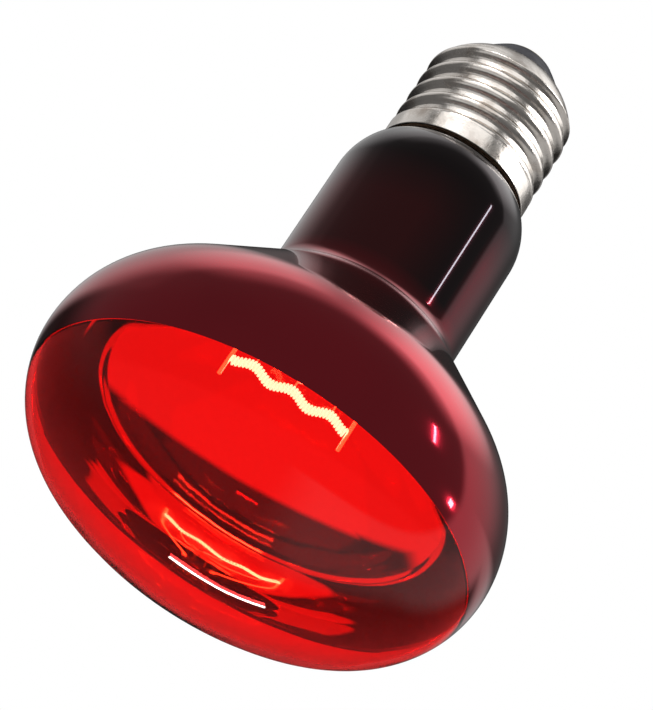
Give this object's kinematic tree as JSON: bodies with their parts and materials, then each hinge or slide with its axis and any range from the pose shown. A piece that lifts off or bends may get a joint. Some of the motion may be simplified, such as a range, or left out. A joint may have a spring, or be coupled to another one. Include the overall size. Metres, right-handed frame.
{
  "type": "infrared heat lamp bulb",
  "caption": "Red blown-glass reflector lamp with a domed face, mirrored bowl and neck, glowing filament on a glass stem, and an E27 screw cap with a dark insulator and flat centre contact.",
  "frame": {"origin": "centre of the outer face of the centre contact", "axes": "+Z along the lamp's axis from the face to the cap, so the lamp hangs below the origin; the filament lies along X"},
  "size_m": [0.08, 0.08, 0.1126],
  "materials": {
    "red_glass": "polished ruby glass",
    "mirror_layer": "evaporated aluminium",
    "nickel_shell": "nickel plated, lightly scuffed",
    "black_glass": "black glass, glossy",
    "contact_brass": "stamped",
    "solder": "dull tin solder",
    "cement": "baked brown cement",
    "clear_glass": "clear",
    "lead_nickel": "drawn nickel wire",
    "lead_copper": "drawn copper wire",
    "support_wire": "drawn molybdenum wire",
    "tungsten": "lit tungsten coil"
  },
  "bodies": {
    "root": {"bulb_glass": "red_glass", "mirror_film": "mirror_layer", "cap_shell": "nickel_shell", "cap_insulator": "black_glass", "centre_contact": "contact_brass", "contact_solder": "solder", "side_solder": "solder", "cement_ring": "cement", "stem": "clear_glass", "exhaust_tube": "clear_glass", "stem_rod": "clear_glass", "inner_lead_left": "lead_nickel", "inner_lead_right": "lead_nickel", "seal_wire_left": "lead_copper", "seal_wire_right": "lead_copper", "outer_lead_centre": "lead_copper", "outer_lead_side": "lead_copper", "support_left": "support_wire", "support_middle": "support_wire", "support_right": "support_wire", "filament": "tungsten"}
  },
  "joints": []
}
